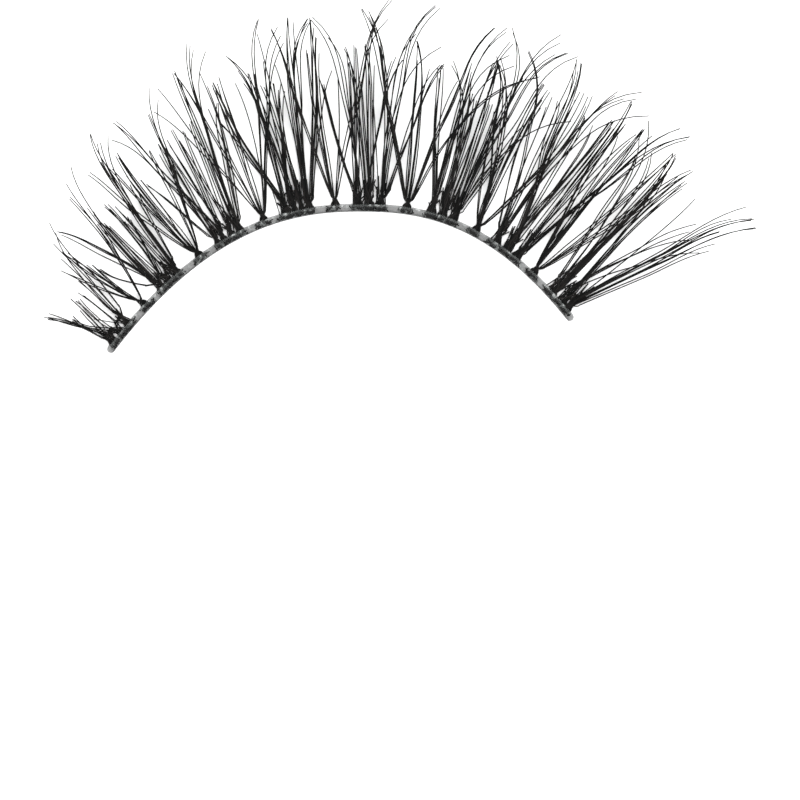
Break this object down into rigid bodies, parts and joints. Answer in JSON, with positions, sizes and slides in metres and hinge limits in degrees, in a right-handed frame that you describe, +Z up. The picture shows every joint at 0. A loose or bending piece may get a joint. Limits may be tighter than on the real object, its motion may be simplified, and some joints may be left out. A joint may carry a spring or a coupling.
{
  "type": "false eyelash strip",
  "caption": "Strip of curled black lashes knotted in crossing clusters on a thin clear arched band, short at the inner corner and long at the outer one.",
  "frame": {"origin": "crown of the arched band's centre line, on the band's flat underside", "axes": "+X along the band towards the outer corner of the eye, +Y out along the lashes, +Z up from the surface that the strip lies on"},
  "size_m": [0.0445, 0.022, 0.0048],
  "materials": {
    "film": "clear soft film",
    "lash_fibre": "black synthetic fibre, satin"
  },
  "bodies": {
    "root": {"band": "film", "lash_cluster_01": "lash_fibre", "lash_cluster_02": "lash_fibre", "lash_cluster_03": "lash_fibre", "lash_cluster_04": "lash_fibre", "lash_cluster_05": "lash_fibre", "lash_cluster_06": "lash_fibre", "lash_cluster_07": "lash_fibre", "lash_cluster_08": "lash_fibre", "lash_cluster_09": "lash_fibre", "lash_cluster_10": "lash_fibre", "lash_cluster_11": "lash_fibre", "lash_cluster_12": "lash_fibre", "lash_cluster_13": "lash_fibre", "lash_cluster_14": "lash_fibre", "lash_cluster_15": "lash_fibre", "lash_cluster_16": "lash_fibre", "lash_cluster_17": "lash_fibre", "lash_cluster_18": "lash_fibre", "lash_cluster_19": "lash_fibre", "lash_cluster_20": "lash_fibre", "lash_cluster_21": "lash_fibre", "lash_cluster_22": "lash_fibre", "lash_cluster_23": "lash_fibre", "lash_cluster_24": "lash_fibre", "lash_cluster_25": "lash_fibre", "lash_cluster_26": "lash_fibre", "lash_cluster_27": "lash_fibre", "lash_cluster_28": "lash_fibre", "lash_cluster_29": "lash_fibre", "lash_cluster_30": "lash_fibre", "lash_cluster_31": "lash_fibre", "lash_cluster_32": "lash_fibre", "lash_cluster_33": "lash_fibre"}
  },
  "joints": []
}
